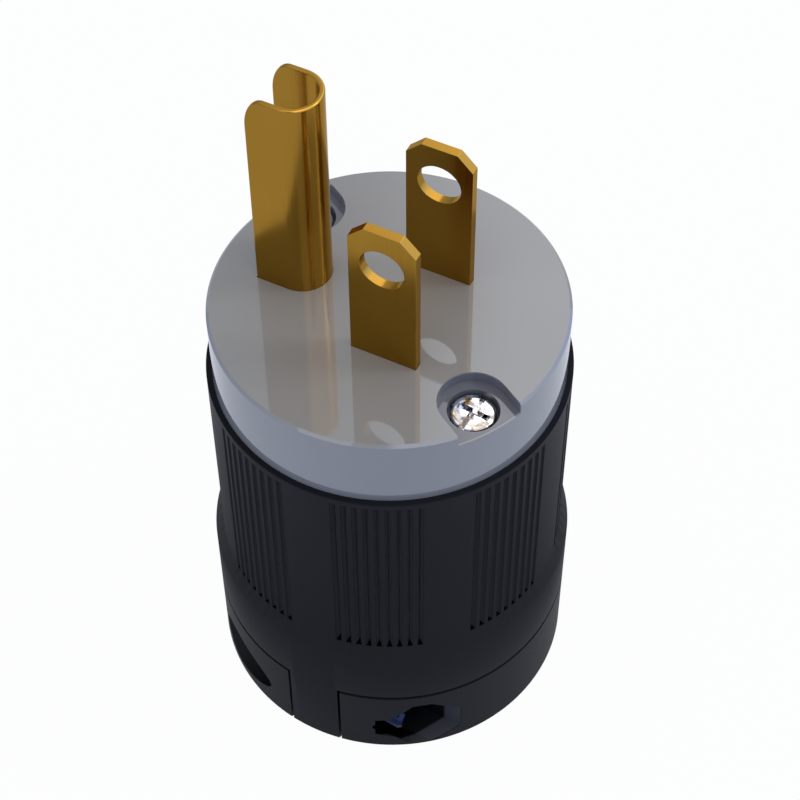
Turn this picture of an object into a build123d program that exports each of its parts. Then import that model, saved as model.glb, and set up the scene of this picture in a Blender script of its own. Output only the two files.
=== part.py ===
from build123d import *
from math import acos, degrees, sqrt
import os

os.makedirs("parts", exist_ok=True)

# A straight-blade mains plug that is wired by hand. It stands on its cord end, blades up.
# The origin is the centre of the cord-end face, +Z runs along the plug towards the blades,
# X runs from the neutral blade to the line blade and the ground pin is on the -Y side.

# Body, from the cord end to the front face
body_length = 56.8
collar_radius = 20.6
collar_step = 0.96
face_step = 0.64
face_depth = 8.95
face_bevel = 0.3
collar_height = 19.3
shoulder_height = 1.55
jaw_height = 11.07
jaw_seam = 0.3
post_half_width = 3.05
edge_bevel = 0.4

# Inside of the shell
sleeve_wall = 2.44
spigot_length = 5.85
spigot_clearance = 0.2
ledge_width = 2.6
wiring_depth = 5.0
throat_radius = 8.3

# Finger grip: groups of V grooves with smooth bands between them
groove_groups = 8
grooves_per_group = 9
groove_pitch_deg = 3.35
groove_width = 0.65
groove_depth = 0.95
groove_top_margin = 0.85

# Blades and ground pin
blade_spacing = 12.7
blade_y = 2.87
blade_width = 7.38
blade_thickness = 1.5
blade_length = 18.1
blade_corner = 1.7
blade_hole_radius = 2.6
blade_hole_height = 13.25
pin_radius = 3.15
pin_y = -10.1
pin_leg = 3.8
pin_sheet = 0.8
pin_length = 26.2
pin_corner_depth = 2.1
pin_corner_height = 3.7
slot_clearance = 0.05

# Terminals behind the face: flange, tab, wire gap, pressure plate and screw
tab_width = 6.4
tab_thickness = 1.2
tab_length = 12.5
wire_gap = 1.6
plate_thickness = 1.3
plate_length = 7.6
plate_lip = 0.7
plate_lip_depth = 2.2
lip_clearance = 0.15
terminal_depth = 6.4
terminal_wall_gap = 1.1
terminal_screw_radius = 1.75
terminal_hole_clearance = 0.15
terminal_head_radius = 3.1
terminal_head_height = 1.9
terminal_screw_tip = 0.8

# Carrier that holds the terminals against the face
carrier_clearance = 0.3
carrier_floor = 2.5
wire_hole_radius = 2.3
barrier_thickness = 1.6
barrier_reach = 15.5
barrier_count = 3
barrier_start_deg = 90.0

# Assembly screws, set in pockets of the face and in brass inserts of the shell
assembly_x = 8.11
assembly_inset = 3.25
pocket_half_width = 3.75
pocket_depth = 1.46
head_recess_radius = 2.95
head_drop = 0.15
assembly_head_radius = 2.4
assembly_head_height = 1.9
assembly_screw_radius = 1.5
assembly_screw_length = 13.6
assembly_hole_clearance = 0.2
insert_radius = 2.3
insert_length = 7.0
insert_clearance = 0.02
boss_radius = 3.6
boss_clearance = 0.2

# Cord clamp: two jaws drawn together by two screws that pass through the posts
jaw_parting = 0.3
post_depth = 8.4
post_gap = 0.15
cord_radius = 5.0
cord_mouth_bevel = 0.8
cord_ridge_count = 2
cord_ridge_pitch = 2.0
cord_ridge_depth = 0.7
clamp_inset = 4.0
clamp_z = 4.4
clamp_seat_y = 4.6
clamp_screw_radius = 1.4
clamp_screw_length = 14.6
clamp_hole_clearance = 0.25
clamp_head_radius = 2.75
clamp_head_height = 2.0
clamp_recess_radius = 3.0
nut_across_flats = 5.0
nut_height = 2.2
nut_socket_clearance = 0.15
nut_socket_depth = 2.4
nut_pocket_rise = 4.65
nut_pocket_drop = 4.0
nut_pocket_crest = 0.65
nut_pocket_outer = 2.9
nut_pocket_inner = 3.23
nut_pocket_wall = 2.0
thread_clearance = 0.05

# Screw heads: a bevelled crown and a slot
head_bevel = 0.6
drive_width = 0.8
drive_depth = 0.8
assembly_slot_deg = 174.0

# Levels and sizes that follow from the values above
grip_radius = collar_radius - collar_step
face_radius = grip_radius - face_step
bore_radius = grip_radius - sleeve_wall
ledge_radius = bore_radius - ledge_width
assembly_circle_radius = face_radius - assembly_inset
assembly_deg = degrees(acos(assembly_x / assembly_circle_radius))
post_inner_x = collar_radius - post_depth
clamp_x = collar_radius - clamp_inset
grip_top_z = body_length - face_depth
shoulder_top_z = collar_height + shoulder_height
ring_bottom_z = jaw_height + jaw_seam
spigot_bottom_z = grip_top_z - spigot_length
spigot_radius = bore_radius - spigot_clearance
blade_x = blade_spacing / 2
pin_back_y = pin_y - pin_leg
pin_top_z = body_length + pin_length
head_seat_z = body_length - pocket_depth - head_drop - assembly_head_height
carrier_top_z = spigot_bottom_z - tab_length
ledge_z = carrier_top_z - carrier_floor
floor_z = ledge_z - wiring_depth
terminal_z = spigot_bottom_z - terminal_depth
terminal_screw_length = tab_thickness + wire_gap + plate_thickness + terminal_screw_tip
nut_socket_flats = nut_across_flats + 2 * nut_socket_clearance
beyond = 2 * collar_radius + 2

# Each terminal head clears the bore by the same gap, so the tabs stand as far out as they can
head_limit = bore_radius - terminal_wall_gap
blade_head_y = blade_y + terminal_head_radius
line_head_x = sqrt(head_limit**2 - blade_head_y**2)
line_tab_x = line_head_x - terminal_head_height - tab_thickness
ground_head_y = -sqrt(head_limit**2 - terminal_head_radius**2)
ground_tab_y = ground_head_y + terminal_head_height


# Both assembly screws lie on one circle, opposite each other.
def assembly_places():
    return PolarLocations(assembly_circle_radius, 2, assembly_deg)


# The ground pin's U section. A clearance above zero gives the slot that it passes through.
def pin_section(clearance):
    with BuildSketch() as section:
        with Locations((0, pin_y)):
            Circle(pin_radius + clearance)
            Rectangle(
                2 * (pin_radius + clearance),
                pin_leg + clearance,
                align=(Align.CENTER, Align.MAX),
            )
            Circle(pin_radius - pin_sheet - clearance, mode=Mode.SUBTRACT)
            Rectangle(
                2 * (pin_radius - pin_sheet - clearance),
                pin_leg + clearance,
                align=(Align.CENTER, Align.MAX),
                mode=Mode.SUBTRACT,
            )
    return section.sketch


# A slotted pan-head screw. The seat plane lies under the head and faces away from the shank.
def pan_screw(seat, head_radius, head_height, shank_radius, shank_length):
    with BuildPart() as screw:
        with BuildSketch(seat):
            Circle(head_radius)
        extrude(amount=head_height)
        crown = screw.faces().sort_by(Axis(seat.origin, seat.z_dir))[-1]
        chamfer(crown.edges(), head_bevel)
        with BuildSketch(seat):
            Circle(shank_radius)
        extrude(amount=-shank_length)
        with BuildSketch(seat.offset(head_height)):
            Rectangle(2 * head_radius + 1, drive_width)
        extrude(amount=-drive_depth, mode=Mode.SUBTRACT)
    return screw.part


# A pressure plate with two lips that keep it square to its tab. The plane lies on the side
# that faces the tab, with its normal towards the tab and its y axis along the plug.
def pressure_plate(front):
    lip_offset = tab_width / 2 + lip_clearance + plate_lip / 2
    with BuildPart() as plate:
        with BuildSketch(front):
            Rectangle(2 * lip_offset + plate_lip, plate_length)
        extrude(amount=-plate_thickness)
        with BuildSketch(front):
            with Locations((-lip_offset, 0), (lip_offset, 0)):
                Rectangle(plate_lip, plate_length)
        extrude(amount=plate_lip_depth)
        with BuildSketch(front):
            Circle(terminal_screw_radius + thread_clearance)
        extrude(amount=-plate_thickness, mode=Mode.SUBTRACT)
    return plate.part


# Shell: gripped sleeve, collar, inner floor and the two posts of the cord clamp
with BuildPart() as shell:
    with BuildSketch(Plane.XZ):
        with BuildLine():
            Polyline(
                (bore_radius, grip_top_z),
                (grip_radius, grip_top_z),
                (grip_radius, shoulder_top_z),
                (collar_radius, collar_height),
                (collar_radius, ring_bottom_z),
                (throat_radius, ring_bottom_z),
                (throat_radius, floor_z),
                (ledge_radius, floor_z),
                (ledge_radius, ledge_z),
                (bore_radius, ledge_z),
                close=True,
            )
        make_face()
    revolve(axis=Axis.Z)

    with BuildSketch():
        Circle(collar_radius)
        Rectangle(beyond, 2 * post_half_width, mode=Mode.INTERSECT)
        Rectangle(2 * post_inner_x, beyond, mode=Mode.SUBTRACT)
    extrude(amount=ring_bottom_z)
    foot_edges = shell.edges().group_by(Axis.Z)[0].filter_by(GeomType.CIRCLE)
    chamfer(foot_edges, edge_bevel)

    with BuildSketch(Plane.XY.offset(floor_z)):
        with assembly_places():
            Circle(boss_radius)
    extrude(amount=grip_top_z - floor_z)
    with BuildSketch(Plane.XY.offset(grip_top_z)):
        with assembly_places():
            Circle(insert_radius + insert_clearance)
    extrude(amount=-insert_length, mode=Mode.SUBTRACT)
    with BuildSketch(Plane.XY.offset(grip_top_z)):
        with assembly_places():
            Circle(assembly_screw_radius + assembly_hole_clearance)
    extrude(amount=-assembly_screw_length, mode=Mode.SUBTRACT)

    with BuildSketch(Plane.XY.offset(shoulder_top_z)):
        for group in range(groove_groups):
            middle = (group + 0.5) * 360 / groove_groups
            spread = (grooves_per_group - 1) * groove_pitch_deg
            start = middle - spread / 2
            with PolarLocations(grip_radius, grooves_per_group, start, spread, endpoint=True):
                Polygon(
                    (-groove_depth, 0),
                    (groove_depth, groove_width),
                    (groove_depth, -groove_width),
                    align=None,
                )
    extrude(amount=grip_top_z - groove_top_margin - shoulder_top_z, mode=Mode.SUBTRACT)

    with BuildSketch(Plane.XZ):
        with Locations((-clamp_x, clamp_z), (clamp_x, clamp_z)):
            Circle(clamp_screw_radius + clamp_hole_clearance)
    extrude(amount=post_half_width + 1, both=True, mode=Mode.SUBTRACT)
shell.part.label = "shell"

# Face: insulating disc with a spigot that enters the shell, blade slots and screw pockets
with BuildPart() as face:
    with BuildSketch(Plane.XY.offset(grip_top_z)):
        Circle(face_radius)
    extrude(amount=face_depth)
    chamfer(face.faces().sort_by(Axis.Z)[-1].edges(), face_bevel)
    with BuildSketch(Plane.XY.offset(spigot_bottom_z)):
        Circle(spigot_radius)
        with assembly_places():
            Circle(boss_radius + boss_clearance, mode=Mode.SUBTRACT)
    extrude(amount=spigot_length)
    with BuildSketch(Plane.XY.offset(spigot_bottom_z)):
        with Locations((-blade_x, blade_y), (blade_x, blade_y)):
            Rectangle(blade_thickness + 2 * slot_clearance, blade_width + 2 * slot_clearance)
        add(pin_section(slot_clearance))
    extrude(amount=body_length - spigot_bottom_z, mode=Mode.SUBTRACT)
    with BuildSketch(Plane.XY.offset(body_length)):
        with assembly_places():
            Circle(pocket_half_width)
            Rectangle(beyond, 2 * pocket_half_width, align=(Align.MIN, Align.CENTER))
    extrude(amount=-pocket_depth, mode=Mode.SUBTRACT)
    with BuildSketch(Plane.XY.offset(head_seat_z)):
        with assembly_places():
            Circle(head_recess_radius)
    extrude(amount=body_length - head_seat_z, mode=Mode.SUBTRACT)
    with BuildSketch(Plane.XY.offset(grip_top_z)):
        with assembly_places():
            Circle(assembly_screw_radius + assembly_hole_clearance)
    extrude(amount=face_depth, mode=Mode.SUBTRACT)
face.part.label = "face"

# Line blade: flat bar with clipped corners and a hole, bent outwards behind the face to a tab
with BuildPart() as blade_line:
    with BuildSketch(Plane.YZ.offset(blade_x - blade_thickness / 2)):
        with Locations((blade_y, spigot_bottom_z - tab_thickness)):
            Rectangle(
                blade_width,
                tab_thickness + body_length - spigot_bottom_z + blade_length,
                align=(Align.CENTER, Align.MIN),
            )
        with Locations((blade_y, body_length + blade_hole_height)):
            Circle(blade_hole_radius, mode=Mode.SUBTRACT)
    extrude(amount=blade_thickness)
    tip_corners = blade_line.edges().filter_by(Axis.X).group_by(Axis.Z)[-1]
    chamfer(tip_corners, blade_corner)
    with BuildSketch(Plane.XZ.offset(-blade_y)):
        with BuildLine():
            Polyline(
                (blade_x - blade_thickness / 2, spigot_bottom_z),
                (line_tab_x + tab_thickness, spigot_bottom_z),
                (line_tab_x + tab_thickness, carrier_top_z),
                (line_tab_x, carrier_top_z),
                (line_tab_x, spigot_bottom_z - tab_thickness),
                (blade_x - blade_thickness / 2, spigot_bottom_z - tab_thickness),
                close=True,
            )
        make_face()
    extrude(amount=tab_width / 2, both=True)
    with BuildSketch(Plane.YZ.offset(line_tab_x)):
        with Locations((blade_y, terminal_z)):
            Circle(terminal_screw_radius + terminal_hole_clearance)
    extrude(amount=tab_thickness, mode=Mode.SUBTRACT)
blade_line.part.label = "blade_line"

# Neutral blade: the mirror image of the line blade
with BuildPart() as blade_neutral:
    mirror(blade_line.part, about=Plane.YZ)
blade_neutral.part.label = "blade_neutral"

# Ground pin: a sheet rolled to a U that is open at the back, with a flange and a tab
with BuildPart() as ground_pin:
    with BuildSketch(Plane.XY.offset(spigot_bottom_z - tab_thickness)):
        add(pin_section(0))
    extrude(amount=pin_top_z - spigot_bottom_z + tab_thickness)
    with BuildSketch(Plane.YZ):
        with BuildLine():
            Line((pin_back_y, pin_top_z - pin_corner_height), (pin_back_y, pin_top_z))
            Line((pin_back_y, pin_top_z), (pin_back_y + pin_corner_depth, pin_top_z))
            EllipticalCenterArc(
                (pin_back_y + pin_corner_depth, pin_top_z - pin_corner_height),
                pin_corner_depth,
                pin_corner_height,
                start_angle=90,
                arc_size=90,
            )
        make_face()
    extrude(amount=pin_radius + 1, both=True, mode=Mode.SUBTRACT)
    with BuildSketch(Plane.XY.offset(spigot_bottom_z)):
        with Locations((0, ground_tab_y)):
            Rectangle(
                tab_width,
                pin_y + pin_radius - ground_tab_y,
                align=(Align.CENTER, Align.MIN),
            )
    extrude(amount=-tab_thickness)
    with BuildSketch(Plane.XZ.offset(-ground_tab_y)):
        with Locations((0, spigot_bottom_z)):
            Rectangle(tab_width, tab_length, align=(Align.CENTER, Align.MAX))
        with Locations((0, terminal_z)):
            Circle(terminal_screw_radius + terminal_hole_clearance, mode=Mode.SUBTRACT)
    extrude(amount=-tab_thickness)
ground_pin.part.label = "ground_pin"

# Carrier: floor with a wire hole for each terminal and barriers between the terminals
with BuildPart() as carrier:
    with BuildSketch(Plane.XY.offset(ledge_z)):
        Circle(bore_radius - carrier_clearance)
        with assembly_places():
            Circle(boss_radius + carrier_clearance, mode=Mode.SUBTRACT)
        wire_x = line_tab_x - wire_gap / 2
        wire_y = ground_tab_y + tab_thickness + wire_gap / 2
        with Locations((-wire_x, blade_y), (wire_x, blade_y), (0, wire_y)):
            Circle(wire_hole_radius, mode=Mode.SUBTRACT)
    extrude(amount=carrier_top_z - ledge_z)
    with BuildSketch(Plane.XY.offset(carrier_top_z)):
        with PolarLocations(0, barrier_count, barrier_start_deg):
            Rectangle(barrier_reach, barrier_thickness, align=(Align.MIN, Align.CENTER))
    extrude(amount=spigot_bottom_z - carrier_top_z)
carrier.part.label = "carrier"

# Terminal screws and pressure plates, each seated from outside on its own tab
line_outside = Plane(
    (line_tab_x + tab_thickness, blade_y, terminal_z), x_dir=(0, 1, 0), z_dir=(1, 0, 0)
)
neutral_outside = Plane(
    (-line_tab_x - tab_thickness, blade_y, terminal_z), x_dir=(0, -1, 0), z_dir=(-1, 0, 0)
)
ground_outside = Plane((0, ground_tab_y, terminal_z), x_dir=(1, 0, 0), z_dir=(0, -1, 0))
terminals = {"line": line_outside, "neutral": neutral_outside, "ground": ground_outside}
terminal_parts = []
for name, outside in terminals.items():
    terminal_screw = pan_screw(
        outside,
        terminal_head_radius,
        terminal_head_height,
        terminal_screw_radius,
        terminal_screw_length,
    )
    terminal_screw.label = "terminal_screw_" + name
    terminal_plate = pressure_plate(outside.offset(-tab_thickness - wire_gap))
    terminal_plate.label = "pressure_plate_" + name
    terminal_parts += [terminal_screw, terminal_plate]

# Assembly screws with the inserts that they are driven into
assembly_parts = []
for index, place in enumerate(assembly_places()):
    slot_turn = assembly_slot_deg - place.orientation.Z
    seat = Plane(place).rotated((0, 0, slot_turn)).offset(head_seat_z)
    assembly_screw = pan_screw(
        seat,
        assembly_head_radius,
        assembly_head_height,
        assembly_screw_radius,
        assembly_screw_length,
    )
    assembly_screw.label = f"assembly_screw_{index + 1}"
    with BuildPart() as insert:
        with BuildSketch(Plane(place).offset(grip_top_z)):
            Circle(insert_radius)
            Circle(assembly_screw_radius + thread_clearance, mode=Mode.SUBTRACT)
        extrude(amount=-insert_length)
    insert.part.label = f"insert_{index + 1}"
    assembly_parts += [assembly_screw, insert.part]

# Clamp jaw on the +Y side: half a collar with a ridged cord seat, a recess for a screw head
# and a hexagonal nut socket at the bottom of a wider pocket that narrows towards the post
with BuildPart() as jaw_a:
    ridge_points = []
    for index in range(cord_ridge_count):
        ridge_top = jaw_height - edge_bevel - index * cord_ridge_pitch
        ridge_points += [
            (cord_radius, ridge_top),
            (cord_radius - cord_ridge_depth, ridge_top - cord_ridge_pitch / 2),
        ]
    with BuildSketch(Plane.XZ):
        with BuildLine():
            Polyline(
                (cord_radius + cord_mouth_bevel, 0),
                (collar_radius - edge_bevel, 0),
                (collar_radius, edge_bevel),
                (collar_radius, jaw_height),
                (cord_radius, jaw_height),
                *ridge_points,
                (cord_radius, jaw_height - edge_bevel - cord_ridge_count * cord_ridge_pitch),
                (cord_radius, cord_mouth_bevel),
                close=True,
            )
        make_face()
    revolve(axis=Axis.Z)
    with BuildSketch():
        with Locations((0, jaw_parting)):
            Rectangle(beyond, beyond, align=(Align.CENTER, Align.MIN))
        with GridLocations(2 * (post_inner_x - post_gap) + beyond, 0, 2, 1):
            Rectangle(beyond, 2 * (post_half_width + post_gap), mode=Mode.SUBTRACT)
    extrude(amount=jaw_height, mode=Mode.INTERSECT)
    with BuildSketch(Plane.XZ):
        with Locations((-clamp_x, clamp_z), (clamp_x, clamp_z)):
            Circle(clamp_screw_radius + clamp_hole_clearance)
    extrude(amount=-beyond, mode=Mode.SUBTRACT)
    with BuildSketch(Plane.XZ.offset(-clamp_seat_y)):
        with Locations((-clamp_x, clamp_z)):
            Circle(clamp_recess_radius)
        with Locations((clamp_x, clamp_z)):
            RegularPolygon(nut_socket_flats / 2, 6, major_radius=False, rotation=90)
    extrude(amount=-beyond, mode=Mode.SUBTRACT)
    with BuildSketch(Plane.XZ.offset(-clamp_seat_y - nut_socket_depth)):
        with Locations((clamp_x, clamp_z)):
            Polygon(
                (nut_pocket_outer, 0),
                (nut_pocket_crest, nut_pocket_rise),
                (-nut_pocket_crest, nut_pocket_rise),
                (-nut_pocket_inner, nut_pocket_wall),
                (-nut_pocket_inner, -nut_pocket_wall),
                (-nut_pocket_crest, -nut_pocket_drop),
                (nut_pocket_crest, -nut_pocket_drop),
                align=None,
            )
    extrude(amount=-beyond, mode=Mode.SUBTRACT)
jaw_a.part.label = "jaw_a"

# The other jaw is the same moulding, turned half a turn about the cord
with BuildPart() as jaw_b:
    add(jaw_a.part, rotation=(0, 0, 180))
jaw_b.part.label = "jaw_b"

# Clamp screws and nuts. The first screw goes in from the -Y jaw, the second from the +Y jaw.
clamp_parts = []
for index, side in enumerate((1, -1)):
    head_seat = Plane(
        (side * clamp_x, -side * clamp_seat_y, clamp_z), x_dir=(1, 0, 0), z_dir=(0, -side, 0)
    )
    clamp_screw = pan_screw(
        head_seat,
        clamp_head_radius,
        clamp_head_height,
        clamp_screw_radius,
        clamp_screw_length,
    )
    clamp_screw.label = f"clamp_screw_{index + 1}"
    nut_seat = Plane(
        (side * clamp_x, side * clamp_seat_y, clamp_z), x_dir=(1, 0, 0), z_dir=(0, side, 0)
    )
    with BuildPart() as nut:
        with BuildSketch(nut_seat):
            RegularPolygon(nut_across_flats / 2, 6, major_radius=False, rotation=90)
            Circle(clamp_screw_radius + thread_clearance, mode=Mode.SUBTRACT)
        extrude(amount=nut_height)
    nut.part.label = f"clamp_nut_{index + 1}"
    clamp_parts += [clamp_screw, nut.part]

whole_pieces = [shell, face, blade_line, blade_neutral, ground_pin, carrier, jaw_a, jaw_b]
for piece in [made.part for made in whole_pieces] + terminal_parts + assembly_parts + clamp_parts:
    export_step(piece, f"parts/{piece.label}.step")
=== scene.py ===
import math

import bmesh
import bpy
from mathutils import Matrix, Vector


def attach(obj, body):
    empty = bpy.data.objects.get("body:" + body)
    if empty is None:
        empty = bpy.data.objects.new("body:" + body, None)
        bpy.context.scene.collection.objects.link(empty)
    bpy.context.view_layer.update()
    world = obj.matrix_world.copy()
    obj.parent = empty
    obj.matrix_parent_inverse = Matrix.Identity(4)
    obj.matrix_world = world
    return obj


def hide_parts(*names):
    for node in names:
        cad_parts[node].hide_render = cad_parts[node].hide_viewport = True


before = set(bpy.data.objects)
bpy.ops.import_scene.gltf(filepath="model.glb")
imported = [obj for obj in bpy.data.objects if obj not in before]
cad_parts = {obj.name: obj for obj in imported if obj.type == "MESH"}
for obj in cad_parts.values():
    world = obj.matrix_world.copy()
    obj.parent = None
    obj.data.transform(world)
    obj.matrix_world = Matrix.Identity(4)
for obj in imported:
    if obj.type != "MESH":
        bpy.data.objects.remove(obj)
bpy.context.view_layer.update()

scene = bpy.context.scene
mm = 0.001
print("frame loaded:", len(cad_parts), "nodes")

# Sizes shared by several pieces, in millimetres, with z measured from the cord end
plug = {
    "length": 56.8, "faceRadius": 19.0, "faceDepth": 8.95, "gripRadius": 19.64,
    "collarRadius": 20.6, "collarHeight": 19.3, "shoulderTop": 20.85, "ringBottom": 11.37,
    "spigotBottom": 42.0, "spigotRadius": 17.0, "boreRadius": 17.2,
    "bladeX": 6.35, "bladeY": 2.87, "bladeWidth": 7.38, "bladeThickness": 1.05,
    "bladeShift": 0.225,  # keeps the blades' +X faces where the thicker solids have them
    "pinY": -10.1, "pinRadius": 3.15, "pinLeg": 3.8, "pinSheet": 0.62,
    "screwCircle": 15.75, "screwAngles": (59.0, 239.0), "bossRadius": 3.6,
    "clampX": 16.6, "clampZ": 4.4, "clampSeat": 4.6,
}
past = 1.0  # how far a cutting shape passes the surface that it opens
hair = 0.01  # keeps two faces out of one plane
tall = 20.0  # taller than the face and than the cord clamp
beyond = 30.0  # well outside the collar


# Colours are written as sRGB hex and turned to linear light here.
def hexColor(code):
    channels = [int(code[i:i + 2], 16) / 255 for i in (1, 3, 5)]
    linear = [c / 12.92 if c <= 0.04045 else ((c + 0.055) / 1.055) ** 2.4 for c in channels]
    return (*linear, 1.0)


# Adds a node, applies its settings, and fills or links its inputs by name or number.
def addNode(tree, kind, settings=None, inputs=None):
    node = tree.nodes.new(kind)
    for name, value in (settings or {}).items():
        setattr(node, name, value)
    for name, value in (inputs or {}).items():
        if isinstance(value, bpy.types.NodeSocket):
            tree.links.new(value, node.inputs[name])
        else:
            node.inputs[name].default_value = value
    return node


# The emptied node tree of a material or world.
def emptyTree(owner):
    owner.use_nodes = True
    owner.node_tree.nodes.clear()
    return owner.node_tree


# A new material, its tree, and the object coordinates that its patterns follow.
def newMaterial(name):
    material = bpy.data.materials.new(name)
    tree = emptyTree(material)
    place = addNode(tree, "ShaderNodeTexCoord").outputs["Object"]
    return material, tree, place


# The shader that ends a material. Its roughness and relief follow a fine pattern.
def finishMaterial(tree, pattern, roughness, smoother, rougher, relief, inputs):
    shine = addNode(tree, "ShaderNodeMapRange", inputs={
        "Value": pattern, "From Min": 0.3, "From Max": 0.7,
        "To Min": roughness - smoother, "To Max": roughness + rougher})
    bump = addNode(tree, "ShaderNodeBump", inputs={
        "Strength": relief, "Distance": 0.01 * mm, "Height": pattern})
    shader = addNode(tree, "ShaderNodeBsdfPrincipled", inputs={
        "Roughness": shine.outputs["Result"], "Normal": bump.outputs["Normal"], **inputs})
    addNode(tree, "ShaderNodeOutputMaterial", inputs={"Surface": shader.outputs["BSDF"]})


# Distance from the plug's axis and height over the cord end, for tones that differ by zone.
def zoneSockets(tree, place):
    flat = addNode(tree, "ShaderNodeVectorMath", {"operation": "MULTIPLY"}, {
        0: place, 1: (1, 1, 0)})
    radius = addNode(tree, "ShaderNodeVectorMath", {"operation": "LENGTH"}, {
        0: flat.outputs["Vector"]})
    height = addNode(tree, "ShaderNodeSeparateXYZ", inputs={0: place})
    return radius.outputs["Value"], height.outputs["Z"]


# Rolled brass strip, polished and left bare: fine drawing lines along z make the mirror a
# little streaky, and slow clouds of tarnish shift the gold towards brown.
def rolledBrass(name, dark, light, roughness, lineMm):
    material, tree, place = newMaterial(name)
    fine = 1 / (lineMm * mm)  # drawn coarser than real drawing lines, so that they show
    along = addNode(tree, "ShaderNodeMapping", inputs={
        "Vector": place, "Scale": (fine, fine, fine / 60)})  # 60 times as long as wide
    lines = addNode(tree, "ShaderNodeTexNoise", inputs={
        "Vector": along.outputs["Vector"], "Scale": 1.0, "Detail": 3.0})
    clouds = addNode(tree, "ShaderNodeTexNoise", inputs={
        "Vector": place, "Scale": 1 / (9 * mm), "Detail": 3.0})
    tone = addNode(tree, "ShaderNodeMix", {"data_type": "RGBA"}, {
        "Factor": clouds.outputs["Fac"], 6: hexColor(dark), 7: hexColor(light)})
    finishMaterial(tree, lines.outputs["Fac"], roughness, smoother=0.04, rougher=0.05, relief=0.08,
                   inputs={"Base Color": tone.outputs[2], "Metallic": 1.0,
                           "Specular Tint": hexColor("#e8d6bc")})  # no whitening at low angles
    return material


# Where the face's nylon gets painted shade as a hollow: nearer to the axis and lower than these, in
# mm
shadedHollowZone = {"radius": 18.8, "top": 56.6}


# Glass-smooth moulded nylon off a polished tool: clear reflections over mid grey, with the
# faint waviness of sink and flow that keeps them from being perfect. Its hollows get painted
# shade: a darker tone that stands in for the light they lose.
def polishedNylon(name, dark, light, hollowShadeTone, roughness, ior):
    material, tree, place = newMaterial(name)
    flow = addNode(tree, "ShaderNodeTexNoise", inputs={
        "Vector": place, "Scale": 1 / (14 * mm), "Detail": 2.0})
    waves = addNode(tree, "ShaderNodeTexNoise", inputs={
        "Vector": place, "Scale": 1 / (3.5 * mm), "Detail": 1.0})
    tone = addNode(tree, "ShaderNodeMix", {"data_type": "RGBA"}, {
        "Factor": flow.outputs["Fac"], 6: hexColor(dark), 7: hexColor(light)})
    radius, height = zoneSockets(tree, place)
    # Painted shade: pockets, slots and all else under the top inside the rim take the hollow tone
    inside = addNode(tree, "ShaderNodeMath", {"operation": "LESS_THAN"}, {
        0: radius, 1: shadedHollowZone["radius"] * mm})
    below = addNode(tree, "ShaderNodeMath", {"operation": "LESS_THAN"}, {
        0: height, 1: shadedHollowZone["top"] * mm})
    hollow = addNode(tree, "ShaderNodeMath", {"operation": "MULTIPLY"}, {
        0: inside.outputs[0], 1: below.outputs[0]})
    shaded = addNode(tree, "ShaderNodeMix", {"data_type": "RGBA"}, {
        "Factor": hollow.outputs[0], 6: tone.outputs[2], 7: hexColor(hollowShadeTone)})
    finishMaterial(tree, waves.outputs["Fac"], roughness, smoother=0.015, rougher=0.02, relief=0.06,
                   inputs={"Base Color": shaded.outputs[2], "IOR": ior})
    return material


# Zones of the satin mouldings where light and shade are painted, in mm
satinZones = {
    "grooveSkin": 19.62, "grooveRoot": 19.0,  # radii between which a groove gets its painted light
    "grooveFoot": 20.85, "footBand": 0.04,  # height of the grooves' lower ends
    "grooveAbove": 20.9, "rimAbove": 47.62,  # heights over which grooves get painted light and the rim painted shade
    "jawMiddle": 5.5, "jawHalf": 5.3,  # heights of the cord clamp, as a middle and a half
    "skinRadius": 20.5, "pocketReach": 15.5,  # its pockets lie inside the one, past the other
    "mouthStart": 18.9, "mouthEnd": 19.1,  # reach over which a pocket turns from painted shade to its mouth's painted light
    "reachAlong": (0.7071, 0.7071, 0),  # reach is measured both ways along this diagonal
    # near-black painted shade for the grooves' lower ends and the pockets' depths
    "holeShadeTone": "#050607",
}
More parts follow.
